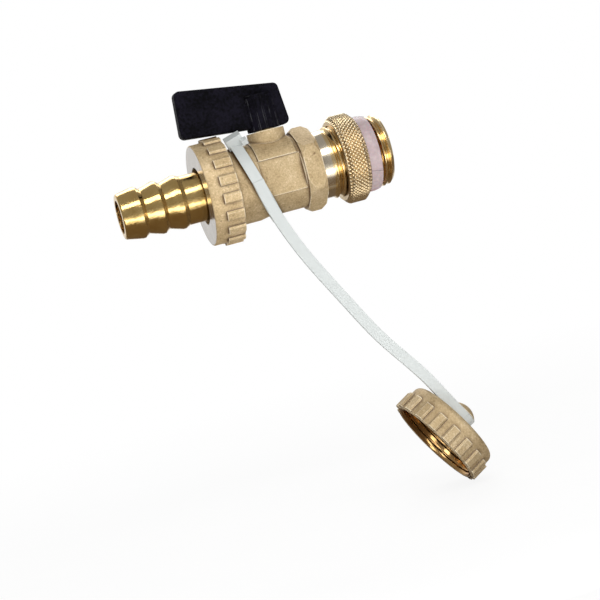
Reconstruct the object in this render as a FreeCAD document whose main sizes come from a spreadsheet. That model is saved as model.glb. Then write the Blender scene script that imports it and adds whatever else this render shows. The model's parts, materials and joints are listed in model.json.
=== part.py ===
import FreeCAD, Part
import math
import os
import re
import Sketcher

# Drain cock, millimetres. X is the flow axis and leaves the valve at the inlet thread.
# The origin is the centre of the last full turn of that thread. Z runs up the stem.

V = FreeCAD.Vector
doc = FreeCAD.newDocument("DrainCock")
sheet = doc.addObject("Spreadsheet::Sheet", "Sizes")

SIZES = [
    # Stations along the flow axis, counted back from the origin
    ("stem_station", 31.6),
    ("outlet_station", 48.9),
    ("hex_end_station", 19.9),
    # Inlet thread, G 1/2
    ("inlet_radius", 10.4),
    ("inlet_thread_length", 16.8),
    ("inlet_relief_radius", 9.8),
    ("inlet_chamfer", 1.0),
    ("inlet_bore_radius", 5.2),
    ("seal_groove_width", 0.5),
    ("seal_groove_depth", 0.4),
    # Body
    ("barrel_radius", 10.55),
    ("neck_radius", 11.0),
    ("neck_length", 8.6),
    ("neck_cone", 2.4),
    ("hex_flats", 21.8),
    ("hex_width", 5.4),
    ("hex_trim_radius", 12.3),
    ("hex_trim_slope", 1.4),
    ("boss_radius", 5.45),
    ("panel_depth", 9.5),
    ("panel_height", 10.4),
    ("panel_length", 12.4),
    ("panel_back", 6.6),
    ("shoulder_radius", 11.1),
    ("shoulder_low", 5.1),
    ("shoulder_back", 6.2),
    ("shoulder_length", 11.5),
    ("shoulder_edge", 0.4),
    # Outlet thread, G 3/4
    ("outlet_radius", 13.2),
    ("outlet_thread_length", 3.4),
    ("outlet_chamfer", 0.5),
    ("flow_radius", 4.7),
    # Ball, seats and stem
    ("ball_radius", 7.9),
    ("ball_gap", 0.4),
    ("ball_fit", 0.05),
    ("seat_thickness", 2.5),
    ("seat_offset", 4.9),
    ("seat_bore_radius", 5.0),
    ("socket_radius", 9.3),
    ("fixed_fit", 0.05),
    ("running_fit", 0.04),
    ("stem_radius", 3.0),
    ("stem_square", 4.2),
    ("square_height", 8.5),
    ("collar_radius", 4.4),
    ("collar_height", 1.0),
    ("collar_lift", 0.1),
    ("washer_thickness", 0.6),
    ("stem_bore_length", 3.9),
    ("tang_width", 2.6),
    ("tang_fit", 0.1),
    ("tang_length", 6.4),
    ("tang_bottom", 5.9),
    ("slot_floor", 5.6),
    ("ring_groove_depth", 0.8),
    ("ring_groove_width", 1.0),
    ("groove_inset", 0.35),
    ("groove_spacing", 1.6),
    # Lever
    ("lever_lift", 0.35),
    ("lever_thickness", 4.6),
    ("lever_rear", 24.4),
    ("lever_front", 7.55),
    ("rear_low_rise", 3.1),
    ("front_low_rise", 0.3),
    ("rear_high_rise", 16.8),
    ("front_high_rise", 12.55),
    ("lever_corner", 1.6),
    ("lever_edge", 0.5),
    ("lever_lean", 1.1),
    ("hub_radius", 4.6),
    ("hub_height", 10.5),
    ("hub_rib_height", 0.25),
    ("hub_rib_width", 0.5),
    # Union nut and cap
    ("nut_shell", 1.3),
    ("nut_length", 8.8),
    ("nut_edge", 0.5),
    ("smooth_length", 3.5),
    ("rib_count", 18),
    ("rib_height", 0.8),
    ("rib_width", 2.9),
    ("rib_bevel", 0.45),
    ("nut_wall", 2.0),
    ("nut_hole_gap", 1.2),
    ("thread_fit", 0.1),
    ("nut_mouth", 0.6),
    # Hose tail
    ("tail_bore_radius", 4.8),
    ("tail_flange_gap", 0.6),
    ("tail_flange_thickness", 1.8),
    ("tail_neck_radius", 7.1),
    ("tail_neck_length", 7.2),
    ("barb_radius", 7.75),
    ("barb_root_radius", 6.45),
    ("barb_step", 5.85),
    ("barb_land", 0.8),
    ("barb_drop", 1.3),
    ("barb_shrink", 0.17),
    ("tip_radius", 6.6),
    ("tip_edge", 0.7),
    ("tip_length", 4.9),
    ("gasket_thickness", 1.6),
    ("gasket_inner_radius", 6.5),
    # Locknut and seal ring
    ("locknut_length", 6.9),
    ("locknut_radius", 12.95),
    ("locknut_chamfer", 1.3),
    ("locknut_face_radius", 11.6),
    ("seal_length", 3.7),
    ("seal_radius", 11.1),
    ("seal_tip_radius", 10.8),
    ("seal_back", 3.0),
    # Strap
    ("strap_width", 3.2),
    ("strap_thickness", 1.2),
    ("strap_fit", 0.1),
    ("run_proud", 0.25),
    ("loop_slack", 0.4),
    ("loop_station", 37.8),
    ("loop_tilt", 16.2),
    ("loop_yaw", 10.0),
    ("head_length", 4.0),
    ("head_width", 4.9),
    ("head_height", 3.1),
    ("head_sink", 0.2),
    ("head_angle", 20.0),
    ("head_shift", 0.3),
    ("cut_end_width", 1.8),
    ("cut_end_length", 1.9),
    ("cut_end_height", 1.6),
    ("cut_end_angle", 30.0),
    ("cut_end_shift", 2.7),
    ("run_back_one", 37.3),
    ("run_drop_one", 10.3),
    ("run_back_two", 31.2),
    ("run_drop_two", 25.3),
    ("run_back_three", 24.15),
    ("run_drop_three", 38.65),
    ("run_back_four", 16.85),
    ("run_drop_four", 51.65),
    # Cap
    ("cap_rim_back", 8.4),
    ("cap_rim_drop", 85.6),
    ("cap_tilt", 29.3),
    ("cap_length", 8.8),
    ("cap_floor", 2.0),
    ("cap_edge", 1.8),
    ("cap_gasket_thickness", 1.5),
    ("cap_relief", 0.3),
    ("nub_neck_radius", 2.8),
    ("nub_head_radius", 4.0),
    ("nub_neck_height", 3.8),
    ("nub_head_height", 1.8),
    ("belt_lift", 0.5),
]
for row, (alias, value) in enumerate(SIZES, 1):
    sheet.set("A%d" % row, alias)
    sheet.set("B%d" % row, str(value))
    sheet.setAlias("B%d" % row, alias)
doc.recompute()


# Sizes that follow from the ones in the sheet
DERIVED = {
    "ring_radius": "(outlet_radius+thread_fit+nut_shell)",
    "rib_radius": "(outlet_radius+thread_fit+nut_shell+rib_height)",
    "nut_hole_radius": "(tail_neck_radius+nut_hole_gap)",
    "tail_flange_radius": "(outlet_radius-tail_flange_gap)",
    "collar_top": "(ball_radius+collar_lift+collar_height)",
    "boss_height": "(ball_radius+collar_lift+collar_height+washer_thickness+stem_bore_length)",
    "lower_groove": "(ball_radius+collar_lift+collar_height+washer_thickness+groove_inset)",
    "upper_groove": "(ball_radius+collar_lift+collar_height+washer_thickness+groove_inset+groove_spacing)",
    "stem_top": "(boss_height+square_height)",
    "hub_top": "(boss_height+hub_height)",
    "lever_front_low": "(boss_height+front_low_rise)",
    "lever_rear_low": "(boss_height+rear_low_rise)",
    "lever_front_high": "(boss_height+front_high_rise)",
    "lever_rear_high": "(boss_height+rear_high_rise)",
}


def ex(text):
    """Writes an expression over the sheet's aliases in full."""
    def full(found):
        name = found.group(0)
        return ex(DERIVED[name]) if name in DERIVED else "Sizes." + name
    return re.sub(r"[a-z]+_[a-z_]+", full, text)


def num(text):
    """The present value of such an expression."""
    value = sheet.evalExpression(ex(text))
    return float(getattr(value, "Value", value))


def plane(body, role):
    return next(item for item in body.Origin.OriginFeatures if item.Role == role)


def new_body(label):
    body = doc.addObject("PartDesign::Body", label)
    body.Label = label
    return body


def new_sketch(body, name, role, offset=None):
    sketch = body.newObject("Sketcher::SketchObject", name)
    sketch.AttachmentSupport = (plane(body, role), [""])
    sketch.MapMode = "FlatFace"
    if offset:
        sketch.setExpression("AttachmentOffset.Base.z", ex(offset))
    return sketch


def tie(sketch, kind, geo, pos, axis, text):
    """Holds one coordinate of a point to an expression, or to the axis itself when it is nought."""
    if text == "0":
        sketch.addConstraint(Sketcher.Constraint("PointOnObject", geo, pos, axis))
        return
    index = sketch.addConstraint(Sketcher.Constraint(kind, -1, 1, geo, pos, num(text)))
    sketch.setExpression("Constraints[%d]" % index, ex(text))


def right_hand_arc(start, end, radius):
    """Arc that leaves its start bending to the right, as a counter-clockwise curve from end to start."""
    along = end - start
    middle = (start + end) * 0.5
    right = V(along.y, -along.x, 0).normalize()
    centre = middle + right * math.sqrt(radius ** 2 - (along.Length / 2) ** 2)
    angles = [math.atan2(point.y - centre.y, point.x - centre.x) for point in (end, start)]
    return Part.ArcOfCircle(Part.Circle(centre, V(0, 0, 1), radius), angles[0], angles[1])


def outline(sketch, points):
    """Closed outline whose corners are held by expressions.

    A corner's third item is the radius of an arc to the next corner.
    """
    corners = [V(num(point[0]), num(point[1]), 0) for point in points]
    count = len(corners)
    first, last = [1] * count, [2] * count
    for k, point in enumerate(points):
        ends = corners[k], corners[(k + 1) % count]
        if len(point) > 2:
            sketch.addGeometry(right_hand_arc(ends[0], ends[1], num(point[2])), False)
            first[k], last[k] = 2, 1
        else:
            sketch.addGeometry(Part.LineSegment(ends[0], ends[1]), False)
    for k in range(count):
        after = (k + 1) % count
        sketch.addConstraint(Sketcher.Constraint("Coincident", k, last[k], after, first[after]))
    for k, point in enumerate(points):
        tie(sketch, "DistanceX", k, first[k], -2, point[0])
        tie(sketch, "DistanceY", k, first[k], -1, point[1])
        if len(point) > 2:
            index = sketch.addConstraint(Sketcher.Constraint("Radius", k, num(point[2])))
            sketch.setExpression("Constraints[%d]" % index, ex(point[2]))


def disc(sketch, across, up, radius):
    """Circle whose centre and radius are held by expressions."""
    centre = V(num(across), num(up), 0)
    geo = sketch.addGeometry(Part.Circle(centre, V(0, 0, 1), num(radius)), False)
    tie(sketch, "DistanceX", geo, 3, -2, across)
    tie(sketch, "DistanceY", geo, 3, -1, up)
    index = sketch.addConstraint(Sketcher.Constraint("Radius", geo, num(radius)))
    sketch.setExpression("Constraints[%d]" % index, ex(radius))


def turn(body, name, points, axis="H_Axis", cut=False):
    """Revolves an outline on the XZ plane, as material or as a cut."""
    sketch = new_sketch(body, name + "Sketch", "XZ_Plane")
    outline(sketch, points)
    doc.recompute()
    kind = "PartDesign::Groove" if cut else "PartDesign::Revolution"
    feature = body.newObject(kind, name)
    feature.Profile = sketch
    feature.ReferenceAxis = (sketch, [axis])
    feature.Angle = 360
    doc.recompute()
    return feature


def extrude(body, name, sketch, length, cut=False, both=False, back=False):
    feature = body.newObject("PartDesign::Pocket" if cut else "PartDesign::Pad", name)
    feature.Profile = sketch
    feature.setExpression("Length", ex(length))
    if both:
        feature.SideType = "Symmetric"
    feature.Reversed = back
    doc.recompute()
    return feature


def place(item, across="0", aside="0", up="0"):
    item.setExpression("Placement.Base.x", ex(across))
    item.setExpression("Placement.Base.y", ex(aside))
    item.setExpression("Placement.Base.z", ex(up))


# Body: local X starts at the outlet face and runs to the end of the hexagon
body = new_body("body")
stem_at = "(outlet_station-stem_station)"
hex_end = "(outlet_station-hex_end_station)"
hex_start = "(outlet_station-hex_end_station-hex_width)"
neck_end = "(outlet_thread_length+neck_length)"
turn(body, "Forging", [
    ("0", "0"),
    ("0", "outlet_radius-outlet_chamfer"),
    ("outlet_chamfer", "outlet_radius"),
    ("outlet_thread_length-outlet_chamfer", "outlet_radius"),
    ("outlet_thread_length", "outlet_radius-outlet_chamfer"),
    ("outlet_thread_length", "neck_radius"),
    (neck_end + "-neck_cone", "neck_radius"),
    (neck_end, "barrel_radius"),
    (hex_end + "-0.4*hex_width", "barrel_radius"),
    (hex_end + "-0.4*hex_width", "0"),
])
sketch = new_sketch(body, "ShoulderSketch", "YZ_Plane", stem_at + "-shoulder_back")
half = "sqrt(shoulder_radius^2-shoulder_low^2)"
outline(sketch, [("-" + half, "shoulder_low", "shoulder_radius+0"), (half, "shoulder_low")])
shoulder = extrude(body, "Shoulder", sketch, "shoulder_length")


def soften(target, name, feature, radius, wanted):
    """Rounds the edges of a feature that pass a test."""
    picked = ["Edge%d" % (k + 1) for k, edge in enumerate(feature.Shape.Edges) if wanted(edge)]
    rounded = target.newObject("PartDesign::Fillet", name)
    rounded.Base = (feature, picked)
    rounded.setExpression("Radius", ex(radius))
    doc.recompute()
    return rounded


def ends_shoulder(edge):
    """The shoulder's end arc, next to the hexagon."""
    end = num(stem_at + "-shoulder_back+shoulder_length")
    at_end = all(abs(vertex.Point.x - end) < 0.01 for vertex in edge.Vertexes)
    return at_end and hasattr(edge.Curve, "Radius") and edge.Curve.Radius > num("shoulder_radius-0.01")


soften(body, "ShoulderEnd", shoulder, "shoulder_edge+0", ends_shoulder)
sketch = new_sketch(body, "BossSketch", "XY_Plane")
disc(sketch, stem_at, "0", "boss_radius")
extrude(body, "Boss", sketch, "boss_height")
sketch = new_sketch(body, "PanelSketch", "XZ_Plane")
outline(sketch, [
    (stem_at + "-panel_back", "panel_height/2"),
    (stem_at + "-panel_back+panel_length", "panel_height/2"),
    (stem_at + "-panel_back+panel_length", "-panel_height/2"),
    (stem_at + "-panel_back", "-panel_height/2"),
])
extrude(body, "Panels", sketch, "2*panel_depth", both=True)
for side, back in (("Near", True), ("Far", False)):
    sketch = new_sketch(body, side + "FlatSketch", "XZ_Plane", "panel_depth" if back else "-panel_depth")
    outline(sketch, [
        (stem_at + "-panel_back", "panel_height/2"),
        (stem_at + "-panel_back+panel_length", "panel_height/2"),
        (stem_at + "-panel_back+panel_length", "-panel_height/2"),
        (stem_at + "-panel_back", "-panel_height/2"),
    ])
    extrude(body, side + "Flat", sketch, "neck_radius", cut=True, back=back)
sketch = new_sketch(body, "HexSketch", "YZ_Plane", hex_start)
half, corner = "hex_flats/2", "hex_flats*0.288675"
outline(sketch, [
    ("0", "2*" + corner),
    (half, corner),
    (half, "-" + corner),
    ("0", "-2*" + corner),
    ("-" + half, "-" + corner),
    ("-" + half, corner),
])
extrude(body, "Hexagon", sketch, "hex_width")
for name, near, far in (
    ("HexEdgeIn", hex_start, "+hex_trim_slope"),
    ("HexEdgeOut", hex_end, "-hex_trim_slope"),
):
    turn(body, name, [
        (near, "hex_flats/2+0.3*(hex_trim_radius-hex_flats/2)"),
        (near + far, "hex_trim_radius"),
        (near + far, "hex_flats"),
        (near, "hex_flats"),
    ], cut=True)
turn(body, "HexCrown", [
    (hex_start, "hex_trim_radius"),
    (hex_end, "hex_trim_radius"),
    (hex_end, "hex_flats"),
    (hex_start, "hex_flats"),
], cut=True)
seat_shoulder = stem_at + "-seat_offset-seat_thickness"
socket_floor = stem_at + "+seat_offset+seat_thickness"
turn(body, "FlowWay", [
    ("0", "0"),
    ("0", "flow_radius"),
    (seat_shoulder, "flow_radius"),
    (seat_shoulder, "ball_radius+ball_gap"),
    (socket_floor, "ball_radius+ball_gap"),
    (socket_floor, "socket_radius"),
    (hex_end, "socket_radius"),
    (hex_end, "0"),
], cut=True)
sketch = new_sketch(body, "StemBoreSketch", "XY_Plane")
disc(sketch, stem_at, "0", "stem_radius+running_fit")
extrude(body, "StemBore", sketch, "boss_height", cut=True, back=True)
sketch = new_sketch(body, "CollarBoreSketch", "XY_Plane")
disc(sketch, stem_at, "0", "collar_radius+running_fit")
extrude(body, "CollarBore", sketch, "collar_top+washer_thickness", cut=True, back=True)
place(body, "-outlet_station")

# Inlet nipple: local X starts at its inner end, against the seat
nipple = new_body("inlet_nipple")
inner = "(outlet_station-(%s))" % socket_floor
plug = "(%s-hex_end_station)" % inner
origin = inner
wall = "(%s-seal_back)" % origin
turn(nipple, "Nipple", [
    ("0", "inlet_bore_radius"),
    ("0", "socket_radius-fixed_fit"),
    (plug, "socket_radius-fixed_fit"),
    (plug, "inlet_relief_radius"),
    (origin + "-inlet_thread_length", "inlet_relief_radius"),
    (origin + "-inlet_thread_length+0.5*inlet_chamfer", "inlet_radius"),
    (wall + "-seal_groove_width", "inlet_radius"),
    (wall + "-seal_groove_width", "inlet_radius-seal_groove_depth"),
    (wall, "inlet_radius-seal_groove_depth"),
    (wall, "inlet_radius"),
    (origin, "inlet_radius"),
    (origin + "+inlet_chamfer", "inlet_radius-inlet_chamfer"),
    (origin + "+inlet_chamfer", "inlet_bore_radius"),
])
place(nipple, "-" + inner)

# Ball: local origin at its centre
ball = new_body("ball")
sphere = ball.newObject("PartDesign::AdditiveSphere", "Sphere")
sphere.setExpression("Radius", ex("ball_radius"))
doc.recompute()
sketch = new_sketch(ball, "WaySketch", "YZ_Plane")
disc(sketch, "0", "0", "flow_radius")
extrude(ball, "Way", sketch, "4*ball_radius", cut=True, both=True)
sketch = new_sketch(ball, "SlotSketch", "XZ_Plane")
outline(sketch, [
    ("tang_width/2+tang_fit", "slot_floor"),
    ("tang_width/2+tang_fit", "2*ball_radius"),
    ("-tang_width/2-tang_fit", "2*ball_radius"),
    ("-tang_width/2-tang_fit", "slot_floor"),
])
extrude(ball, "Slot", sketch, "4*ball_radius", cut=True, both=True)
place(ball, "-stem_station")

# Seats: rings hollowed to the ball
for label, start in (("outlet_seat", "-seat_offset-seat_thickness"), ("inlet_seat", "seat_offset")):
    seat = new_body(label)
    outer = "ball_radius+ball_gap-fixed_fit"
    sketch = new_sketch(seat, label + "Sketch", "YZ_Plane", start)
    disc(sketch, "0", "0", outer)
    extrude(seat, label + "Disc", sketch, "seat_thickness")
    sketch = new_sketch(seat, label + "BoreSketch", "YZ_Plane")
    disc(sketch, "0", "0", "seat_bore_radius")
    extrude(seat, label + "Bore", sketch, "8*ball_radius", cut=True, both=True)
    hollow = seat.newObject("PartDesign::SubtractiveSphere", label + "Hollow")
    hollow.setExpression("Radius", ex("ball_radius+ball_fit"))
    doc.recompute()
    place(seat, "-stem_station")

# Stem: turned about Z, with a tang below and a square above
stem = new_body("stem")
groove = "stem_radius-ring_groove_depth"
turn(stem, "Spindle", [
    ("0", "collar_top-collar_height"),
    ("collar_radius", "collar_top-collar_height"),
    ("collar_radius", "collar_top"),
    ("stem_radius", "collar_top"),
    ("stem_radius", "lower_groove"),
    (groove, "lower_groove"),
    (groove, "lower_groove+ring_groove_width"),
    ("stem_radius", "lower_groove+ring_groove_width"),
    ("stem_radius", "upper_groove"),
    (groove, "upper_groove"),
    (groove, "upper_groove+ring_groove_width"),
    ("stem_radius", "upper_groove+ring_groove_width"),
    ("stem_radius", "boss_height"),
    ("0", "boss_height"),
], axis="V_Axis")
sketch = new_sketch(stem, "SquareSketch", "XY_Plane", "boss_height")
outline(sketch, [
    ("stem_square/2", "stem_square/2"),
    ("-stem_square/2", "stem_square/2"),
    ("-stem_square/2", "-stem_square/2"),
    ("stem_square/2", "-stem_square/2"),
])
extrude(stem, "Square", sketch, "stem_top-boss_height")
sketch = new_sketch(stem, "TangSketch", "XZ_Plane")
outline(sketch, [
    ("tang_width/2", "tang_bottom"),
    ("tang_width/2", "collar_top-collar_height/2"),
    ("-tang_width/2", "collar_top-collar_height/2"),
    ("-tang_width/2", "tang_bottom"),
])
extrude(stem, "Tang", sketch, "tang_length", both=True)
place(stem, "-stem_station")

# Thrust washer and the two stem rings
washer = new_body("stem_thrust_washer")
turn(washer, "Washer", [
    ("stem_radius+fixed_fit", "collar_top"),
    ("collar_radius", "collar_top"),
    ("collar_radius", "collar_top+washer_thickness-fixed_fit"),
    ("stem_radius+fixed_fit", "collar_top+washer_thickness-fixed_fit"),
], axis="V_Axis")
place(washer, "-stem_station")
for label, level in (("stem_o_ring_lower", "lower_groove"), ("stem_o_ring_upper", "upper_groove")):
    ring = doc.addObject("Part::Torus", label)
    ring.Label = label
    ring.setExpression("Radius1", ex("stem_radius-ring_groove_depth+(ring_groove_depth+running_fit)/2"))
    ring.setExpression("Radius2", ex("(ring_groove_depth+running_fit)/2-0.5*running_fit"))
    place(ring, "-stem_station", "0", level + "+ring_groove_width/2")

# Lever: local X starts at its rear lower corner
lever = new_body("lever")
span = "(lever_rear+lever_front)"
sketch = new_sketch(lever, "PlateSketch", "XZ_Plane")
outline(sketch, [
    ("0", "lever_rear_low"),
    (span, "lever_front_low"),
    (span + "-lever_lean", "lever_front_high"),
    ("lever_lean", "lever_rear_high"),
])
plate = extrude(lever, "Plate", sketch, "lever_thickness", both=True)


def runs_across(edge):
    first, last = edge.Vertexes[0].Point, edge.Vertexes[-1].Point
    return abs(last.y - first.y) > 1.0


def on_face(edge):
    half_width = num("lever_thickness/2")
    return all(abs(abs(vertex.Point.y) - half_width) < 0.01 for vertex in edge.Vertexes)


corners = soften(lever, "PlateCorners", plate, "lever_corner+0", runs_across)
soften(lever, "PlateEdges", corners, "lever_edge+0", on_face)
sketch = new_sketch(lever, "HubSketch", "XY_Plane", "boss_height+lever_lift")
disc(sketch, "lever_rear", "0", "hub_radius")
extrude(lever, "Hub", sketch, "hub_top-boss_height-lever_lift")
HUB_BARS = 7
for k in range(HUB_BARS):
    sketch = new_sketch(lever, "HubRib%dSketch" % k, "XY_Plane", "boss_height+lever_lift")
    cosine, sine = ("%s(%.6fdeg)" % (wave, 90 + 180 * k / HUB_BARS) for wave in ("cos", "sin"))
    along = "(hub_radius+hub_rib_height)*"
    aside = "hub_rib_width/2*"
    outline(sketch, [
        ("lever_rear+" + along + cosine + "-" + aside + sine, along + sine + "+" + aside + cosine),
        ("lever_rear+" + along + cosine + "+" + aside + sine, along + sine + "-" + aside + cosine),
        ("lever_rear-" + along + cosine + "+" + aside + sine, "-" + along + sine + "-" + aside + cosine),
        ("lever_rear-" + along + cosine + "-" + aside + sine, "-" + along + sine + "+" + aside + cosine),
    ])
    extrude(lever, "HubRib%d" % k, sketch, "hub_height-lever_lift-0.8")
sketch = new_sketch(lever, "UndersideSketch", "XY_Plane", "boss_height+lever_lift")
disc(sketch, "lever_rear", "0", "boss_radius+1")
extrude(lever, "Underside", sketch, "lever_front_low", cut=True)
sketch = new_sketch(lever, "SocketSketch", "XY_Plane", "stem_top+fixed_fit")
outline(sketch, [
    ("lever_rear+stem_square/2+fixed_fit", "stem_square/2+fixed_fit"),
    ("lever_rear-stem_square/2-fixed_fit", "stem_square/2+fixed_fit"),
    ("lever_rear-stem_square/2-fixed_fit", "-stem_square/2-fixed_fit"),
    ("lever_rear+stem_square/2+fixed_fit", "-stem_square/2-fixed_fit"),
])
extrude(lever, "Socket", sketch, "stem_top", cut=True)
place(lever, "-stem_station-lever_rear")


def ribs(target, start, length):
    """Raised ribs round a nut or cap, from one station along its axis."""
    doc.recompute()
    sketch = new_sketch(target, target.Label + "RibSketch", "YZ_Plane", start)
    outline(sketch, [
        ("-rib_width/2", "ring_radius-nut_wall/2"),
        ("rib_width/2", "ring_radius-nut_wall/2"),
        ("rib_width/2", "rib_radius-rib_bevel"),
        ("rib_width/2-rib_bevel", "rib_radius"),
        ("rib_bevel-rib_width/2", "rib_radius"),
        ("-rib_width/2", "rib_radius-rib_bevel"),
    ])
    rib = extrude(target, target.Label + "Rib", sketch, length)
    pattern = target.newObject("PartDesign::PolarPattern", target.Label + "Ribs")
    pattern.Originals = [rib]
    pattern.Axis = (sketch, ["N_Axis"])
    pattern.Angle = 360
    pattern.setExpression("Occurrences", ex("rib_count"))
    target.Tip = pattern
    doc.recompute()


# Union nut: local X starts at its front face
nut_front = "(outlet_station+gasket_thickness+tail_flange_thickness+nut_wall+2*fixed_fit)"
nut = new_body("union_nut")
turn(nut, "NutBlank", [
    ("0", "nut_hole_radius"),
    ("0", "ring_radius-nut_edge", "1.001*nut_edge"),
    ("nut_edge", "ring_radius"),
    ("nut_length-0.4", "ring_radius"),
    ("nut_length", "ring_radius-0.4"),
    ("nut_length", "outlet_radius+thread_fit+nut_mouth"),
    ("nut_length-nut_mouth", "outlet_radius+thread_fit"),
    ("nut_wall", "outlet_radius+thread_fit"),
    ("nut_wall", "nut_hole_radius"),
])
ribs(nut, "smooth_length", "nut_length-smooth_length-0.3")
place(nut, "-" + nut_front)

# Hose tail: local X starts at its tip
tail = new_body("hose_tail")
flange = "(tip_length+2*barb_step+barb_land+barb_drop+tail_neck_length)"
points = [
    ("0", "tail_bore_radius"),
    ("0", "tip_radius-tip_edge", "1.001*tip_edge"),
    ("tip_edge", "tip_radius"),
]
for k in range(3):
    peak = "tip_length+%d*barb_step" % k
    high = "barb_radius-%d*barb_shrink" % (2 - k)
    low = "tail_neck_radius" if k == 2 else "barb_root_radius+%d*0.15" % k
    points.append((peak, high))
    points.append((peak + "+barb_land", high))
    points.append((peak + "+barb_land+barb_drop", low))
points += [
    (flange, "tail_neck_radius"),
    (flange, "tail_flange_radius"),
    (flange + "+tail_flange_thickness", "tail_flange_radius"),
    (flange + "+tail_flange_thickness", "tail_bore_radius"),
]
turn(tail, "Tail", points)
place(tail, "-outlet_station-gasket_thickness-tail_flange_thickness-fixed_fit-" + flange)

gasket = new_body("tail_gasket")
turn(gasket, "Gasket", [
    ("0", "gasket_inner_radius"),
    ("0", "tail_flange_radius"),
    ("gasket_thickness-fixed_fit", "tail_flange_radius"),
    ("gasket_thickness-fixed_fit", "gasket_inner_radius"),
])
place(gasket, "-outlet_station-gasket_thickness")

# Locknut and seal ring on the inlet thread
locknut = new_body("locknut")
bore = "inlet_radius+running_fit"
turn(locknut, "Locknut", [
    ("0", bore),
    ("0", "locknut_face_radius"),
    ("locknut_chamfer", "locknut_radius"),
    ("locknut_length-locknut_chamfer", "locknut_radius"),
    ("locknut_length", "locknut_face_radius"),
    ("locknut_length", bore),
])
place(locknut, "-seal_back-seal_length-locknut_length-fixed_fit")
seal = new_body("seal_ring")
turn(seal, "Seal", [
    ("0", bore),
    ("0", "seal_radius"),
    ("seal_length*0.6", "seal_radius"),
    ("seal_length", "seal_tip_radius"),
    ("seal_length", bore),
])
place(seal, "-seal_back-seal_length")

# Cap: local X leaves its open rim toward its closed back, then the whole is tilted about Y
cap = new_body("cap")
nub = "(cap_length+nub_neck_height)"
turn(cap, "CapBlank", [
    ("cap_length-cap_floor", "0"),
    ("cap_length-cap_floor", "outlet_radius+thread_fit+cap_relief"),
    ("cap_length-cap_floor-cap_gasket_thickness-fixed_fit", "outlet_radius+thread_fit+cap_relief"),
    ("cap_length-cap_floor-cap_gasket_thickness-fixed_fit", "outlet_radius+thread_fit"),
    ("nut_mouth", "outlet_radius+thread_fit"),
    ("0", "outlet_radius+thread_fit+nut_mouth"),
    ("0", "ring_radius-0.4"),
    ("0.4", "ring_radius"),
    ("cap_length-cap_edge", "ring_radius", "1.001*cap_edge"),
    ("cap_length", "ring_radius-cap_edge"),
    ("cap_length", "nub_neck_radius"),
    (nub, "nub_neck_radius"),
    (nub, "nub_head_radius", "(nub_head_radius^2+nub_head_height^2)/(2*nub_head_height)"),
    (nub + "+nub_head_height", "0"),
])
ribs(cap, "0.3", "cap_length-smooth_length-0.3")
cap_gasket = new_body("cap_gasket")
turn(cap_gasket, "CapGasket", [
    ("cap_length-cap_floor-cap_gasket_thickness", "0"),
    ("cap_length-cap_floor-cap_gasket_thickness", "outlet_radius+thread_fit"),
    ("cap_length-cap_floor-fixed_fit", "outlet_radius+thread_fit"),
    ("cap_length-cap_floor-fixed_fit", "0"),
])

loop_mid = "(neck_radius+loop_slack+strap_thickness/2)"
belt_mid = "(nub_neck_radius+strap_fit+strap_thickness/2)"
for piece in (cap, cap_gasket):
    piece.Placement.Rotation = FreeCAD.Rotation(V(0, -1, 0), num("cap_tilt+0"))
    place(piece, "-cap_rim_back", belt_mid + "-" + loop_mid, "-cap_rim_drop")
doc.recompute()


def heading(degrees):
    """Unit vector in the XZ plane, raised from +X."""
    angle = math.radians(degrees)
    return V(math.cos(angle), 0, math.sin(angle))


def band(name, inside, along, centre, width):
    """Hoop of strap material round an axis."""
    pieces = []
    sleeves = (("Outer", inside + "+strap_thickness", width), ("Inner", inside, "3*" + width))
    for suffix, radius, length in sleeves:
        tube = doc.addObject("Part::Cylinder", name + suffix)
        tube.setExpression("Radius", ex(radius))
        tube.setExpression("Height", ex(length))
        start = centre - along * (num(length) / 2)
        tube.Placement = FreeCAD.Placement(start, FreeCAD.Rotation(V(0, 0, 1), along))
        pieces.append(tube)
    hoop = doc.addObject("Part::Cut", name)
    hoop.Base, hoop.Tool = pieces
    return hoop


# Strap: a loop round the neck, a flat run down the front and a belt round the nub
loop_centre = V(-num("loop_station+0"), 0, 0)
yaw = FreeCAD.Rotation(V(0, 0, 1), -num("loop_yaw+0"))
lean = yaw.multiply(FreeCAD.Rotation(V(0, -1, 0), num("loop_tilt+0")))
cap_axis = heading(num("cap_tilt+0"))
cap_rim = V(-num("cap_rim_back+0"), num(belt_mid + "-" + loop_mid), -num("cap_rim_drop+0"))
belt_centre = cap_rim + cap_axis * num("cap_length+belt_lift+strap_width/2")
belt = band("Belt", "nub_neck_radius+strap_fit", cap_axis, belt_centre, "strap_width+0")
sleeve = band("LoopSleeve", "neck_radius+loop_slack", V(1, 0, 0), loop_centre, "2*neck_radius")


def block(name, sizes, corner, turned, centre):
    """Box with one corner at a place, turned about a centre."""
    box = doc.addObject("Part::Box", name)
    for side, size in zip(("Length", "Width", "Height"), sizes):
        box.setExpression(side, ex(size))
    box.Placement = FreeCAD.Placement(centre + turned.multVec(corner), turned)
    return box


reach = "4*neck_radius"
corner = V(-num("strap_width/2"), -num("2*neck_radius"), -num("2*neck_radius"))
slab = block("LoopSlab", ("strap_width+0", reach, reach), corner, lean, loop_centre)
loop = doc.addObject("Part::Common", "Loop")
loop.Base, loop.Tool = sleeve, slab
spin = lean.multiply(FreeCAD.Rotation(V(1, 0, 0), num("head_angle+0")))
loop_top = num("neck_radius+loop_slack+strap_thickness")
corner = V(num("head_shift-head_width/2"), -num("head_length/2"), loop_top - num("head_sink+0"))
head = block("Head", ("head_width+0", "head_length+0", "head_height+0"), corner, spin, loop_centre)
spin = lean.multiply(FreeCAD.Rotation(V(1, 0, 0), num("cut_end_angle+0")))
corner = V(num("cut_end_shift-cut_end_width/2"), -num("cut_end_length/2"), loop_top)
sizes = ("cut_end_width+0", "cut_end_length+0", "cut_end_height+0")
cut_end = block("CutEnd", sizes, corner, spin, loop_centre)
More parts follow.
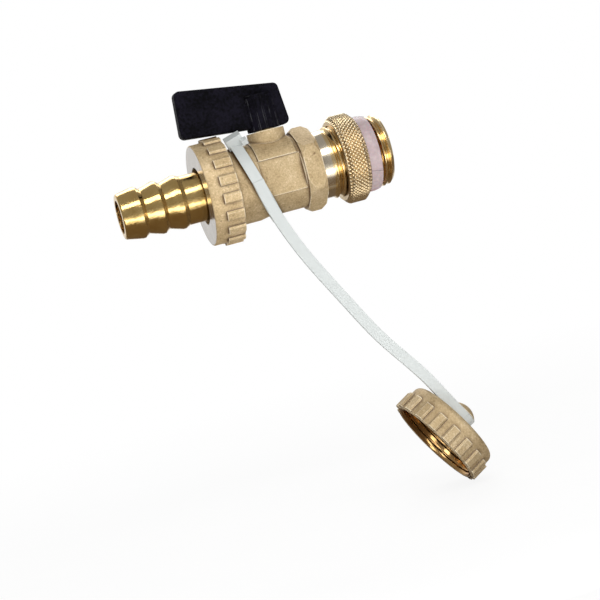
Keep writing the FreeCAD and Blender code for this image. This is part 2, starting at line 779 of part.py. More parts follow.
doc.recompute()

down = V(cap_axis.z, 0, -cap_axis.x)
front = math.tan(math.radians(num("loop_yaw+0"))) * num(loop_mid + "+0")
track = [loop_centre - V(front, 0, 0)]
for step in ("one", "two", "three", "four"):
    track.append(V(-num("run_back_" + step), 0, -num("run_drop_" + step)))
for reach in (1.04 * num("ring_radius+0"), 0.74 * num("ring_radius+0"), 0.4 * num("ring_radius+0"), 0):
    track.append(V(belt_centre.x, 0, belt_centre.z) - down * reach)
curve = Part.BSplineCurve()
curve.interpolate(track)
edges = []
for side in (1, -1):
    row = []
    for k in range(41):
        at = curve.FirstParameter + (curve.LastParameter - curve.FirstParameter) * k / 40
        along = curve.tangent(at)[0]
        row.append(curve.value(at) + V(-along.z, 0, along.x) * (side * num("strap_width/2")))
    line = Part.BSplineCurve()
    line.interpolate(row)
    edges.append(line.toShape())
ends = [Part.makeLine(edges[0].Vertexes[k].Point, edges[1].Vertexes[k].Point) for k in (0, 1)]
wire = Part.Wire(Part.__sortEdges__(edges + ends))
run = doc.addObject("Part::Feature", "Run")
run.Shape = Part.Face(wire).extrude(V(0, num("strap_thickness+0"), 0))
run.Placement.Base = V(0, -num(loop_mid + "+strap_thickness/2+run_proud"), 0)
joined = belt
for name, piece in (("BeltRun", run), ("RunLoop", loop), ("LoopHead", head), ("strap", cut_end)):
    pair = doc.addObject("Part::Fuse", name)
    pair.Base, pair.Tool = joined, piece
    pair.Refine = False
    doc.recompute()
    joined = pair
joined.Label = "strap"

NODES = [
    "body", "inlet_nipple", "ball", "outlet_seat", "inlet_seat", "stem", "stem_thrust_washer",
    "stem_o_ring_lower", "stem_o_ring_upper", "lever", "union_nut", "hose_tail", "tail_gasket",
    "locknut", "seal_ring", "cap", "cap_gasket", "strap",
]
for item in doc.Objects:
    if "Invalid" in item.State or "Error" in item.State:
        raise RuntimeError("%s: %s" % (item.Name, item.State))
os.makedirs("parts", exist_ok=True)
for label in NODES:
    shape = doc.getObjectsByLabel(label)[0].Shape
    if shape.isNull() or not shape.isValid() or len(shape.Solids) != 1:
        raise RuntimeError("%s is not one valid solid" % label)
    shape.exportStep("parts/%s.step" % label)
    box = shape.BoundBox
    corners = (box.XMin, box.XMax, box.YMin, box.YMax, box.ZMin, box.ZMax)
    print(label, round(shape.Volume, 1), [round(v, 2) for v in corners])
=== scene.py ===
"""Looks of a brass drain cock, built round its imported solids.

Lengths are metres, X is the flow axis and Z the stem.
"""

import json
import math

import bmesh
import bpy
from mathutils import Matrix, Vector


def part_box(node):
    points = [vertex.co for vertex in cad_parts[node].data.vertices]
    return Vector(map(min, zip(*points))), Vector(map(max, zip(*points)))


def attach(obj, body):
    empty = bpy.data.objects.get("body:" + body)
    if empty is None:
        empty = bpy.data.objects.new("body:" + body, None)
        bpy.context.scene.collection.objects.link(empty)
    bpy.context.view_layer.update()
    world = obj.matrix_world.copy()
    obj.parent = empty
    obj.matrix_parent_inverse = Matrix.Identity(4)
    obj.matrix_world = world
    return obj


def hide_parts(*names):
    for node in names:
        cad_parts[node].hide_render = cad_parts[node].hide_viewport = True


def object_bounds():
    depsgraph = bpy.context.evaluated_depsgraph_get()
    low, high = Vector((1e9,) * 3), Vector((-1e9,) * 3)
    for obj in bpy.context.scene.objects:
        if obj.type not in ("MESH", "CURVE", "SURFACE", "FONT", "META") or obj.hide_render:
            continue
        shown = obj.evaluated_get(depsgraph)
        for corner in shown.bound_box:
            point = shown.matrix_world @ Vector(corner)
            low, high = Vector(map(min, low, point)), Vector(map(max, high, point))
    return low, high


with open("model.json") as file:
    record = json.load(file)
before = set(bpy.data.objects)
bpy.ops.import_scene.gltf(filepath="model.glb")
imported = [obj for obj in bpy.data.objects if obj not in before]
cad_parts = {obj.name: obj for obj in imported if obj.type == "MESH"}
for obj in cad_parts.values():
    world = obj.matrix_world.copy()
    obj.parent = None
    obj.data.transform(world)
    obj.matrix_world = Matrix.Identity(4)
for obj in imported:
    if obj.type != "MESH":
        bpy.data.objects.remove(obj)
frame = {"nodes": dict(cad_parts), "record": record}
box_at_load = [list(corner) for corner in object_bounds()]

MM = 0.001
X_AXIS = Vector((1, 0, 0))
PITCH = 1.814 * MM  # both pipe threads have this pitch
THREAD_PACE = PITCH / 14
THREAD_DEPTH = 0.86 * MM

# Camera, found from the photographed circles of the nuts, ring and thread
EYE = Vector((-0.13385, -0.44848, -0.0038))
LOOK = Vector((0.2164, 0.9738, -0.0698))
UP = Vector((0.2624, 0.0108, 0.9649))
FOCAL_PIXELS = 1600.0
IMAGE_PIXELS = 600.0

JOINTS = {joint["name"]: joint for joint in frame["record"]["behaviour"]["joints"]}
CAP_RIM = Vector(JOINTS["cap_spin"]["pos_m"])
CAP_AXIS = Vector(JOINTS["cap_spin"]["axis"]).normalized()


class Recipe:
    """A material under construction: its principled shader and short ways to add nodes."""

    def __init__(self, name):
        self.material = bpy.data.materials.new(name)
        self.material.use_nodes = True
        self.tree = self.material.node_tree
        self.shader = self.tree.nodes["Principled BSDF"]
        self.place = self.add("ShaderNodeTexCoord").outputs["Object"]

    def add(self, kind, inputs=None, **settings):
        node = self.tree.nodes.new(kind)
        for key, value in settings.items():
            setattr(node, key, value)
        for key, value in (inputs or {}).items():
            self.put(node.inputs[key], value)
        return node

    def put(self, socket, value):
        if isinstance(value, bpy.types.NodeSocket):
            self.tree.links.new(value, socket)
        else:
            socket.default_value = value

    def set(self, **values):
        for key, value in values.items():
            self.put(self.shader.inputs[key.replace("_", " ")], value)

    def math(self, operation, first, second=0.0):
        return self.add("ShaderNodeMath", {0: first, 1: second}, operation=operation).outputs[0]

    def noise(self, scale, detail=3.0, roughness=0.5):
        settings = {"Vector": self.place, "Scale": scale, "Detail": detail, "Roughness": roughness}
        return self.add("ShaderNodeTexNoise", settings).outputs["Fac"]

    def spread(self, value, low, high, start=0.0, end=1.0):
        """Maps start..end of a value to low..high, held at both ends."""
        settings = {"Value": value, "From Min": start, "From Max": end, "To Min": low, "To Max": high}
        return self.add("ShaderNodeMapRange", settings).outputs[0]

    def ramp(self, value, stops):
        node = self.add("ShaderNodeValToRGB", {"Fac": value})
        elements = node.color_ramp.elements
        while len(elements) < len(stops):
            elements.new(0.5)
        for element, (position, colour) in zip(elements, stops):
            element.position = position
            element.color = tuple(colour) + (1,)
        return node.outputs[0]

    def mix(self, share, first, second):
        """Colour between two colours, which may be sockets or triples."""
        node = self.add("ShaderNodeMix", {"Factor": share}, data_type="RGBA")
        for socket, value in ((node.inputs[6], first), (node.inputs[7], second)):
            self.put(socket, value if isinstance(value, bpy.types.NodeSocket) else tuple(value) + (1,))
        return node.outputs[2]

    def dot(self, first, second):
        node = self.add("ShaderNodeVectorMath", {0: first, 1: second}, operation="DOT_PRODUCT")
        return node.outputs["Value"]

    def axes(self):
        """The place's x, y and z."""
        node = self.add("ShaderNodeSeparateXYZ", {0: self.place})
        return [node.outputs[axis] for axis in "XYZ"]

    def rounded(self, radius):
        """The surface normal with its edges rounded."""
        return self.add("ShaderNodeBevel", {"Radius": radius}, samples=8).outputs[0]

    def relief(self, height, strength, distance, edge):
        """Rounds the solid's edges in the shading and lays a bump over them."""
        settings = {"Strength": strength, "Distance": distance, "Height": height}
        settings["Normal"] = self.rounded(edge)
        self.set(Normal=self.add("ShaderNodeBump", settings).outputs[0])

    def edges(self, width):
        """1 on edges, where highlights are painted, 0 on flat ground: where a rounded normal leaves the
        true one.
        """
        true = self.add("ShaderNodeNewGeometry").outputs["Normal"]
        return self.spread(self.dot(self.rounded(width), true), 1.0, 0.0, 0.72, 0.98)

    def corners(self, distance, tight=0.4, wide=0.9):
        """1 in tight inner corners, where shade is painted from ambient occlusion, 0 in the open."""
        node = self.add("ShaderNodeAmbientOcclusion", {"Distance": distance}, samples=8)
        return self.spread(node.outputs["AO"], 1.0, 0.0, tight, wide)

    def along(self, point, axis):
        """Distance along an axis and squared distance from it, both from a point on it."""
        node = self.add("ShaderNodeVectorMath", {0: self.place, 1: point}, operation="SUBTRACT")
        away = node.outputs[0]
        reach = self.dot(away, axis)
        return reach, self.math("SUBTRACT", self.dot(away, away), self.math("MULTIPLY", reach, reach))


# Colours of the metals, from dark to light
SAND = (
    (0.36, (0.33, 0.225, 0.105)),
    (0.46, (0.51, 0.375, 0.20)),
    (0.54, (0.60, 0.455, 0.26)),
    (0.64, (0.80, 0.655, 0.43)),
)
GOLD = ((0.25, (0.65, 0.41, 0.125)), (0.75, (0.85, 0.61, 0.26)))
# Brass of the cap's inside, painted darker and redder as shade in the recess
SHADED_BROWN = ((0.25, (0.48, 0.26, 0.09)), (0.75, (0.66, 0.42, 0.18)))
STEELY = ((0.25, (0.54, 0.505, 0.465)), (0.75, (0.63, 0.595, 0.555)))
AMBER = ((0.25, (0.77, 0.54, 0.24)), (0.75, (0.94, 0.735, 0.41)))
PALE = ((0.25, (0.74, 0.55, 0.30)), (0.75, (0.88, 0.69, 0.42)))

# Colours laid over them, among them painted shade and painted highlights, and the painted highlight grey of
# the lever's hub
# Painted shade for inner corners
CORNER_SHADE = (0.13, 0.062, 0.018)
# Painted shade for the knurl's valleys
KNURL_VALLEY_SHADE = (0.12, 0.06, 0.02)
SPECK = (0.24, 0.165, 0.075)
PIT = (0.16, 0.09, 0.035)
# Painted highlight, laid on edges
EDGE_HIGHLIGHT = (1.0, 0.91, 0.70)
# Painted highlight for the knurl's tips
KNURL_TIP_HIGHLIGHT = (0.98, 0.86, 0.62)
PALE_NIPPLE = (0.84, 0.73, 0.56)
# Painted shade for the thread's grooves
GROOVE_SHADE = (0.13, 0.065, 0.02)
# Painted highlight grey for the hub's ribs
HUB_HIGHLIGHT_GREY = (0.10, 0.10, 0.105)

FORGED_METAL = 0.42  # how metallic the blasted skin is
TOOL_MARKS = 1300.0  # scale of the wave that draws them


def forged_brass(name, machined=None, stops=None, satin=0.17, metallic=1.0, tone=1.0):
    """Hot-forged, blasted brass: sandy grain, dull patches and pits, with painted highlights on its edges
    and painted shade in its inner corners.

    Zones that the machined mask gives are left bright, in the colours of stops. Tone scales the skin's
    colours, which paints a whole part darker or lighter as shade or light.
    """
    mix = Recipe(name)
    patches = mix.noise(160.0, 5.0, 0.6)
    grain = mix.noise(1900.0, 4.0, 0.8)
    speck = mix.noise(1100.0, 2.0)
    sand = [(stop, tuple(part * tone for part in shade)) for stop, shade in SAND]
    blotch = mix.math("ADD", mix.math("MULTIPLY", patches, 0.4), mix.math("MULTIPLY", grain, 0.6))
    colour = mix.ramp(blotch, sand)
    colour = mix.mix(mix.spread(speck, 0.55, 0.0, 0.24, 0.36), colour, SPECK)
    pits = mix.spread(mix.noise(520.0, 1.0), 1.0, 0.0, 0.20, 0.26)
    colour = mix.mix(mix.math("MULTIPLY", pits, 0.7), colour, PIT)
    # Painted highlight on the edges, where light catches them
    colour = mix.mix(mix.edges(0.7 * MM), colour, EDGE_HIGHLIGHT)
    # Painted shade in the inner corners
    colour = mix.mix(mix.corners(1.3 * MM, 0.5, 0.95), colour, CORNER_SHADE)
    rough = mix.spread(grain, 0.46, 0.66)
    metal = FORGED_METAL
    height = mix.math("ADD", grain, mix.math("MULTIPLY", mix.spread(speck, 0.0, 1.0, 0.22, 0.4), 0.8))
    height = mix.math("SUBTRACT", height, mix.math("MULTIPLY", pits, 1.5))
    if machined is not None:
        bright = machined(mix)
        shade = mix.ramp(mix.noise(300.0), stops)
        colour = mix.mix(bright, colour, shade)
        rough = mix.add("ShaderNodeMix", {"Factor": bright, 2: rough, 3: satin}).outputs[0]
        metal = mix.spread(bright, FORGED_METAL, metallic)
        height = mix.math("MULTIPLY", height, mix.math("SUBTRACT", 1.0, bright))
    mix.set(Base_Color=colour, Roughness=rough, Metallic=metal)
    mix.relief(height, 0.4, 0.12 * MM, 0.3 * MM)
    return mix.material


def inside_cap(mix):
    """The cap's bored inside and its faced rim."""
    reach, square = mix.along(CAP_RIM, CAP_AXIS)
    bored = mix.math("LESS_THAN", square, CAP_BORE ** 2)
    shallow = mix.math("LESS_THAN", reach, CAP_FLOOR)
    rim = mix.math("LESS_THAN", reach, 0.02 * MM)
    return mix.math("MAXIMUM", mix.math("MULTIPLY", bored, shallow), rim)


def nut_front(mix):
    """The union nut's faced front and its bored inside."""
    reach, square = mix.along(NUT_FRONT * X_AXIS, X_AXIS)
    faced = mix.math("LESS_THAN", reach, 0.03 * MM)
    bored = mix.math("LESS_THAN", square, NUT_BORE ** 2)
    return mix.math("MAXIMUM", faced, bored)


def diamonds(mix):
    """0 on the knurl's tips, 1 in its grooves, by the same pattern as the knurled mesh."""
    x, y, z = mix.axes()
    angle = mix.math("MULTIPLY", mix.math("ARCTAN2", z, y), KNURL_TEETH / (2 * math.pi))
    slant = mix.math("MULTIPLY", x, KNURL_TEETH / (2 * math.pi * LOCK_RADIUS))
    sides = []
    for operation in ("ADD", "SUBTRACT"):
        share = mix.math("FRACT", mix.math(operation, angle, slant))
        sides.append(mix.math("ABSOLUTE", mix.math("SUBTRACT", mix.math("MULTIPLY", share, 2.0), 1.0)))
    return mix.math("MAXIMUM", *sides)


def turned_brass(name, low, high, stops, grooves=0.0, pale_below=None, pattern=None, dents=0.0):
    """Bright turned brass with fine tool marks round the flow axis, its roughness from low to high.

    It has painted shade in its grooves, may be paler below one station and slightly dented,
    and a pattern paints shade in its valleys and highlights on its tips.
    """
    mix = Recipe(name)
    wave = {"Vector": mix.place, "Scale": TOOL_MARKS, "Distortion": 1.5, "Detail": 2.0}
    rings = mix.add("ShaderNodeTexWave", wave, bands_direction="X").outputs["Fac"]
    cloud = mix.noise(240.0, 4.0, 0.6)
    tone = mix.math("ADD", mix.math("MULTIPLY", cloud, 0.7), mix.math("MULTIPLY", rings, 0.3))
    colour = mix.ramp(tone, stops)
    if pale_below is not None:
        pale = mix.spread(mix.axes()[0], 1.0, 0.0, pale_below - 0.3 * MM, pale_below)
        colour = mix.mix(pale, colour, PALE_NIPPLE)
    if grooves:
        # Painted shade in the grooves, from ambient occlusion
        colour = mix.mix(mix.math("MULTIPLY", mix.corners(grooves), 0.5), colour, GROOVE_SHADE)
    if pattern is not None:
        valley = pattern(mix)
        # Painted shade in the knurl's valleys and painted highlight on its tips
        colour = mix.mix(mix.spread(valley, 0.0, 0.7, 0.7, 0.97), colour, KNURL_VALLEY_SHADE)
        colour = mix.mix(mix.spread(valley, 0.95, 0.0, 0.2, 0.6), colour, KNURL_TIP_HIGHLIGHT)
    mix.set(Base_Color=colour, Roughness=mix.spread(tone, low, high, 0.3, 0.7), Metallic=1.0)
    height = mix.math("MULTIPLY", rings, 0.025)
    if dents:
        height = mix.math("ADD", height, mix.math("MULTIPLY", mix.noise(420.0, 3.0), dents))
    mix.relief(height, 1.0, 0.12 * MM, 0.1 * MM)
    return mix.material


def plain(name, colour, roughness, scale, grain, edge=0.2 * MM, vary=0.14, span=0.2, painted_highlight=None, **settings):
    """Plastic, rubber or plated metal with a fine grain and an uneven tone, with paler grey painted
    highlights where a mask gives them.
    """
    mix = Recipe(name)
    fine = mix.noise(scale, 3.0, 0.65)
    broad = mix.noise(scale / 12, 2.0)
    tone = mix.math("ADD", mix.math("MULTIPLY", fine, 0.6), mix.math("MULTIPLY", broad, 0.4))
    shades = [tuple(min(1.0, part * level) for part in colour) for level in (1 - vary, 1 + vary)]
    shade = mix.ramp(tone, ((0.5 - span, shades[0]), (0.5 + span, shades[1])))
    if painted_highlight is not None:
        # Painted highlight: paler grey lines on the hub's ribs
        shade = mix.mix(painted_highlight(mix), shade, HUB_HIGHLIGHT_GREY)
    mix.set(Base_Color=shade)
    mix.set(Roughness=mix.spread(fine, roughness - 0.07, roughness + 0.07, 0.3, 0.7), **settings)
    mix.relief(fine, grain, 0.08 * MM, edge)
    return mix.material


def hub_highlight_lines(mix):
    """Painted highlight lines along the ribs of the lever's hub."""
    x, y, _ = mix.axes()
    x = mix.math("SUBTRACT", x, STEM_X)
    square = mix.math("ADD", mix.math("MULTIPLY", x, x), mix.math("MULTIPLY", y, y))
    near = mix.math("LESS_THAN", square, HUB_RADIUS ** 2)
    proud = mix.math("GREATER_THAN", mix.math("ABSOLUTE", y), LEVER_CLEAR)
    patchy = mix.spread(mix.noise(260.0, 2.0), 0.0, 1.0, 0.45, 0.62)
    lines = mix.math("MULTIPLY", mix.edges(0.25 * MM), patchy)
    return mix.math("MULTIPLY", mix.math("MULTIPLY", near, proud), lines)


def split_seal(name):
    """Lilac seal ring, split by one fine slanting cut."""
    mix = Recipe(name)
    tone = mix.noise(900.0, 3.0)
    colour = mix.ramp(tone, ((0.3, (0.43, 0.335, 0.345)), (0.7, (0.53, 0.42, 0.43))))
    cut_side = Vector((0.0, -0.86, -0.51))
    slant = (cut_side.cross(X_AXIS) + 0.25 * X_AXIS).normalized()
    offset = mix.math("ADD", mix.dot(mix.place, slant), 1.2 * MM)
    line = mix.math("LESS_THAN", mix.math("ABSOLUTE", offset), 0.09 * MM)
    line = mix.math("MULTIPLY", line, mix.math("GREATER_THAN", mix.dot(mix.place, cut_side), 0.0))
    mix.set(Base_Color=mix.mix(mix.math("MULTIPLY", line, 0.75), colour, (0.16, 0.11, 0.12)))
    mix.set(Roughness=mix.spread(tone, 0.34, 0.48), Subsurface_Weight=0.12, Subsurface_Scale=1.5 * MM)
    mix.relief(tone, 0.12, 0.06 * MM, 0.2 * MM)
    return mix.material


# Stations and radii that the finishes follow
CAP_BORE = 13.75 * MM
CAP_FLOOR = 5.9 * MM
NUT_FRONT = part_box("union_nut")[0][0]
NUT_BORE = 13.35 * MM
NIPPLE_SHOULDER = -17.0 * MM
LOCK_LOW, LOCK_HIGH = (Vector(corner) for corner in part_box("locknut"))
LOCK_RADIUS = LOCK_HIGH.z
KNURL_TEETH = 64
STEM_X = (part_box("stem")[0][0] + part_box("stem")[1][0]) / 2
HUB_RADIUS = 5.2 * MM
LEVER_CLEAR = 2.6 * MM

FORGED = forged_brass("forged_brass")
TURNED = turned_brass("turned_brass", 0.09, 0.22, GOLD, dents=1.0)
THREADED = turned_brass("threaded_brass", 0.12, 0.24, AMBER, 0.8 * MM, NIPPLE_SHOULDER)
KNURLED = turned_brass("knurled_brass", 0.24, 0.38, PALE, pattern=diamonds)
# Cap thread in brass painted darker as shade in the recess
CAPPED = turned_brass("cap_thread_brass", 0.10, 0.20, SHADED_BROWN)
CHROME = plain("chromed_brass", (0.72, 0.73, 0.75), 0.14, 400.0, 0.05, Metallic=1.0)
BLACK = plain(
    "black_plastic", (0.0040, 0.0035, 0.0068), 0.58, 1500.0, 0.9, edge=0.3 * MM, vary=0.8, span=0.09,
    painted_highlight=hub_highlight_lines, Specular_IOR_Level=0.06,
)
NYLON = plain(
    "white_nylon", (0.585, 0.613, 0.602), 0.45, 500.0, 0.08, vary=0.03, Specular_IOR_Level=0.3,
)
SEAT = plain("seat_plastic", (0.80, 0.80, 0.78), 0.40, 700.0, 0.08)
RUBBER = plain("rubber", (0.02, 0.02, 0.021), 0.6, 1200.0, 0.2)
FINISH = {
    "forged_brass": FORGED,
    "turned_brass": TURNED,
    "chromed_brass": CHROME,
    "black_plastic": BLACK,
    "white_nylon": NYLON,
    "seal_plastic": split_seal("seal_plastic"),
    "seat_plastic": SEAT,
    "rubber": RUBBER,
}
for part in frame["record"]["subparts"]:
    node = frame["nodes"][part["node"]]
    node.data.materials.clear()
    node.data.materials.append(FINISH[part["material_slot"]])
for node, finish in (
    # Cap: forged skin painted darker (tone 0.85) as shade, inside in painted-shade brown
    ("cap", forged_brass("forged_cap", inside_cap, SHADED_BROWN, tone=0.85)),
    # Nut: forged skin painted lighter (tone 1.1) as painted light
    ("union_nut", forged_brass("forged_nut", nut_front, STEELY, satin=0.27, metallic=0.9, tone=1.1)),
):
    frame["nodes"][node].data.materials[0] = finish


def wedge(phase):
    """Pipe-thread profile over one pitch: 0 at the root, 1 at the crest, rounded at both."""
    flat = 0.12
    rise = 1 - abs(2 * (phase % 1.0) - 1)
    return min(1.0, max(0.0, (rise - flat) / (1 - 2 * flat)))


def turned_piece(name, rows, columns, material, body, origin=Vector(), axis=X_AXIS):
    """Closed mesh of revolution round an axis, whose rows are (station, radius, or radius at an angle)."""
    side = Vector((0, 1, 0))
    up = axis.cross(side)
    verts, faces = [], []
    for x, radius in rows:
        for k in range(columns):
            angle = 2 * math.pi * k / columns
            reach = radius(angle) if callable(radius) else radius
            verts.append(origin + axis * x + (side * math.cos(angle) + up * math.sin(angle)) * reach)
    count = len(rows)
    for row in range(count):
        after = (row + 1) % count
        for k in range(columns):
            k2 = (k + 1) % columns
            faces.append((row * columns + k, after * columns + k, after * columns + k2, row * columns + k2))
    mesh = bpy.data.meshes.new(name)
    mesh.from_pydata(verts, [], faces)
    mesh.materials.append(material)
    work = bmesh.new()
    work.from_mesh(mesh)
    bmesh.ops.recalc_face_normals(work, faces=work.faces)
    work.to_mesh(mesh)
    work.free()
    obj = bpy.data.objects.new(name, mesh)
    bpy.context.collection.objects.link(obj)
    for polygon in mesh.polygons:
        polygon.use_smooth = True
    mesh.set_sharp_from_angle(angle=math.radians(32))
    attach(obj, body)
    return obj


def steps(start, end, pace):
    """Even stations from start to end, no further apart than pace."""
    count = max(1, math.ceil((end - start) / pace))
    return [start + (end - start) * k / count for k in range(count + 1)]


# Inlet nipple with its pipe thread cut as one helix
NIPPLE_LOW, NIPPLE_HIGH = (Vector(corner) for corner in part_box("inlet_nipple"))
INLET_RADIUS = NIPPLE_HIGH.z
INLET_BORE = 5.2 * MM
RELIEF_RADIUS = 9.8 * MM
PLUG_RADIUS = 9.25 * MM
PLUG_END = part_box("body")[1][0]
THREAD_START = -16.8 * MM
INLET_END = NIPPLE_HIGH.x
INLET_COLUMNS = 160


def inlet_thread(x):
    """Radius of the inlet thread at one station, as a function of the angle."""
    limit = INLET_RADIUS - max(0.0, x)
    fade = min(1.0, max(0.0, (x - THREAD_START) / (0.6 * PITCH)))

    def radius(angle):
        turn = x / PITCH - angle / (2 * math.pi)
        crest = INLET_RADIUS - THREAD_DEPTH * (1 - wedge(turn))
        return min(limit, RELIEF_RADIUS + (crest - RELIEF_RADIUS) * fade if fade < 1 else crest)

    return radius


rows = [
    (NIPPLE_LOW.x, INLET_BORE),
    (NIPPLE_LOW.x, PLUG_RADIUS),
    (PLUG_END, PLUG_RADIUS),
    (PLUG_END, RELIEF_RADIUS),
    (PLUG_END + 0.2 * MM, RELIEF_RADIUS),
]
rows += [(x, inlet_thread(x)) for x in steps(THREAD_START, INLET_END, THREAD_PACE)]
rows += [(INLET_END, INLET_BORE + 0.3 * MM), (INLET_END - 0.3 * MM, INLET_BORE)]
nipple = turned_piece("inlet_nipple_threaded", rows, INLET_COLUMNS, THREADED, "valve")
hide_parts("inlet_nipple")

# Locknut with a diamond knurl between its two bevels
LOCK_FACE = 11.6 * MM
LOCK_BORE = 10.44 * MM
LOCK_BEVEL = 1.3 * MM
KNURL_DEPTH = 0.45 * MM
KNURL_PACE = 0.12 * MM
KNURL_COLUMNS = 10 * KNURL_TEETH


def knurl(x):
    """Radius of the locknut at one station, as a function of the angle."""
    inset = min(x - LOCK_LOW.x, LOCK_HIGH.x - x)
    limit = LOCK_FACE + (LOCK_RADIUS - LOCK_FACE) * min(1.0, inset / LOCK_BEVEL)
    slant = x / LOCK_RADIUS
    fade = min(1.0, max(0.0, inset - 0.1 * MM) / (0.4 * MM))

    def radius(angle):
        left = abs(((KNURL_TEETH * (angle + slant) / (2 * math.pi)) % 1.0) * 2 - 1)
        right = abs(((KNURL_TEETH * (angle - slant) / (2 * math.pi)) % 1.0) * 2 - 1)
        groove = max(left, right) ** 2
        return limit - KNURL_DEPTH * fade * groove

    return radius


rows = [(LOCK_LOW.x, LOCK_BORE)]
rows += [(x, knurl(x)) for x in steps(LOCK_LOW.x, LOCK_HIGH.x, KNURL_PACE)]
rows += [(LOCK_HIGH.x, LOCK_BORE)]
locknut = turned_piece("locknut_knurled", rows, KNURL_COLUMNS, KNURLED, "locknut")
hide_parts("locknut")

# Thread inside the cap, as a thin sleeve sunk in the wall
CAP_WALL = 13.3 * MM
CAP_SLEEVE_BACK = CAP_WALL + 0.2 * MM
CAP_THREAD_START = 0.25 * MM
CAP_THREAD_END = 4.55 * MM
CAP_THREAD_DEPTH = 0.42 * MM
CAP_COLUMNS = 180


def cap_thread(reach):
    """Radius of the cap's inner thread at one station, as a function of the angle."""
    fade = min(1.0, reach / (0.8 * MM), (CAP_THREAD_END - reach) / (0.5 * MM))

    def radius(angle):
        turn = reach / PITCH - angle / (2 * math.pi)
        lean = 0.25 + 0.75 * (turn % 1.0)  # crests lean to the opening
        return CAP_WALL - 0.02 * MM - CAP_THREAD_DEPTH * fade * lean * min(1.0, 2.4 * wedge(turn))

    return radius


rows = [(CAP_THREAD_START, CAP_SLEEVE_BACK)]
rows += [(reach, cap_thread(reach)) for reach in steps(CAP_THREAD_START, CAP_THREAD_END, THREAD_PACE)]
rows += [(CAP_THREAD_END, CAP_SLEEVE_BACK)]
sleeve = turned_piece("cap_inner_thread", rows, CAP_COLUMNS, CAPPED, "cap_set", CAP_RIM, CAP_AXIS)


# Light, floor and camera
def area(name, place, aim, size, power):
    """Rectangular lamp at a place, turned to its aim and unseen by the camera."""
    lamp = bpy.data.lights.new(name, "AREA")
    lamp.shape = "RECTANGLE"
    lamp.size, lamp.size_y = size
    lamp.energy = power
    obj = bpy.data.objects.new(name, lamp)
    obj.location = place
    obj.rotation_euler = (aim - place).to_track_quat("-Z", "Y").to_euler()
    obj.visible_camera = False
    bpy.context.collection.objects.link(obj)


def sheet(name, corners, height, material):
    """Flat stage piece at one height, from the corner at the lowest x and y to the one opposite."""
    (x0, y0), (x1, y1) = corners
    mesh = bpy.data.meshes.new(name)
    verts = [(x0, y0, height), (x1, y0, height), (x1, y1, height), (x0, y1, height)]
    mesh.from_pydata(verts, [], [(0, 1, 2, 3)])
    mesh.materials.append(material)
    obj = bpy.data.objects.new(name, mesh)
    bpy.context.collection.objects.link(obj)
    return obj


CENTRE = Vector((-0.036, 0.0, -0.01))
# Name, place and aim from the centre, size and power
LAMPS = (
    ("upper_strip", (-0.05, -0.40, 0.36), (0.0, 0.0, 0.0), (0.8, 0.17), 2.0),
    ("lower_strip", (0.0, -0.1532, -0.0715), (0.0, -0.0032, 0.0155), (0.6, 0.042), 0.229),
    ("rim_box", (0.1, 0.45, 0.45), (0.0, 0.0, 0.0), (0.6, 0.3), 1.7),
)
for name, place, aim, size, power in LAMPS:
    area(name, CENTRE + Vector(place), CENTRE + Vector(aim), size, power)

# Card under the part that only darkens what the polished brass reflects
FLOOR_HEIGHT = box_at_load[0][2] - 0.5 * MM
paint = Recipe("ground_card")
paint.set(Base_Color=(0.16, 0.12, 0.08, 1), Roughness=1.0)
card = sheet("ground_card", ((-0.6, -0.10), (0.6, 0.25)), FLOOR_HEIGHT + MM, paint.material)
card.visible_camera = False
card.visible_shadow = False
card.visible_diffuse = False

# Dim surround, brighter behind the part, and plain white to the camera
SURROUND = {"From Min": 0.55, "From Max": 0.9, "To Min": 0.32, "To Max": 0.9}
world = bpy.data.worlds.new("studio")
bpy.context.scene.world = world
world.use_nodes = True
tree = world.node_tree
lit = tree.nodes["Background"]
lit.inputs["Color"].default_value = (1, 1, 1, 1)
toward = tree.nodes.new("ShaderNodeSeparateXYZ")
tree.links.new(tree.nodes.new("ShaderNodeTexCoord").outputs["Generated"], toward.inputs[0])
behind = tree.nodes.new("ShaderNodeMapRange")
for key, value in SURROUND.items():
    behind.inputs[key].default_value = value
tree.links.new(toward.outputs["Y"], behind.inputs["Value"])
tree.links.new(behind.outputs[0], lit.inputs["Strength"])
white = tree.nodes.new("ShaderNodeBackground")
white.inputs["Color"].default_value = (1, 1, 1, 1)
white.inputs["Strength"].default_value = 1.0
mix = tree.nodes.new("ShaderNodeMixShader")
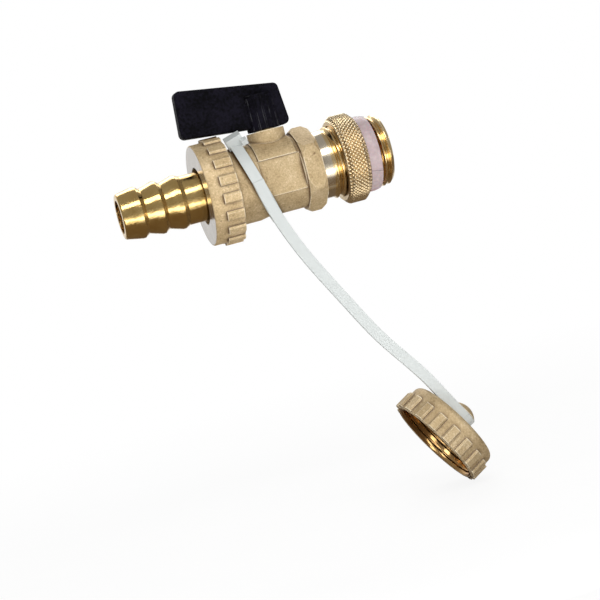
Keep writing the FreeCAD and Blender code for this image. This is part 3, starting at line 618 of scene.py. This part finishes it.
tree.links.new(tree.nodes.new("ShaderNodeLightPath").outputs["Is Camera Ray"], mix.inputs[0])
tree.links.new(lit.outputs[0], mix.inputs[1])
tree.links.new(white.outputs[0], mix.inputs[2])
tree.links.new(mix.outputs[0], tree.nodes["World Output"].inputs["Surface"])

# Pale floor that fades to white away from the part and keeps its shadow
FLOOR_HALF = 1.5
FADE_START, FADE_END = 0.10, 0.32
FADE_LEAST = 0.88
FLOOR_TONES = ((0.3, (0.90, 0.90, 0.90)), (0.7, (0.93, 0.93, 0.93)))
paint = Recipe("pale_floor")
paint.set(Base_Color=paint.ramp(paint.noise(40.0), FLOOR_TONES), Roughness=0.9)
glow = paint.add("ShaderNodeEmission", {"Color": (1, 1, 1, 1), "Strength": 1.0})
middle = Vector((CENTRE.x, CENTRE.y, FLOOR_HEIGHT))
away = paint.add("ShaderNodeVectorMath", {0: paint.place, 1: middle}, operation="DISTANCE")
seen = paint.add("ShaderNodeLightPath").outputs["Is Camera Ray"]
fade = paint.spread(away.outputs["Value"], FADE_LEAST, 1.0, FADE_START, FADE_END)
share = paint.math("MULTIPLY", seen, fade)
blend = paint.add("ShaderNodeMixShader", {0: share, 1: paint.shader.outputs[0], 2: glow.outputs[0]})
paint.tree.links.new(blend.outputs[0], paint.tree.nodes["Material Output"].inputs["Surface"])
floor = sheet("floor", ((-FLOOR_HALF, -FLOOR_HALF), (FLOOR_HALF, FLOOR_HALF)), FLOOR_HEIGHT, paint.material)

camera = bpy.data.cameras.new("camera")
camera.sensor_fit = "HORIZONTAL"
camera.sensor_width = 36.0
camera.lens = camera.sensor_width * FOCAL_PIXELS / IMAGE_PIXELS
camera.clip_start = 0.01
view = bpy.data.objects.new("camera", camera)
ahead = LOOK.normalized()
side = ahead.cross(UP).normalized()
above = side.cross(ahead)
view.matrix_world = Matrix.Translation(EYE) @ Matrix((side, above, -ahead)).transposed().to_4x4()
bpy.context.collection.objects.link(view)
bpy.context.scene.camera = view
bpy.context.scene.view_settings.view_transform = "Standard"
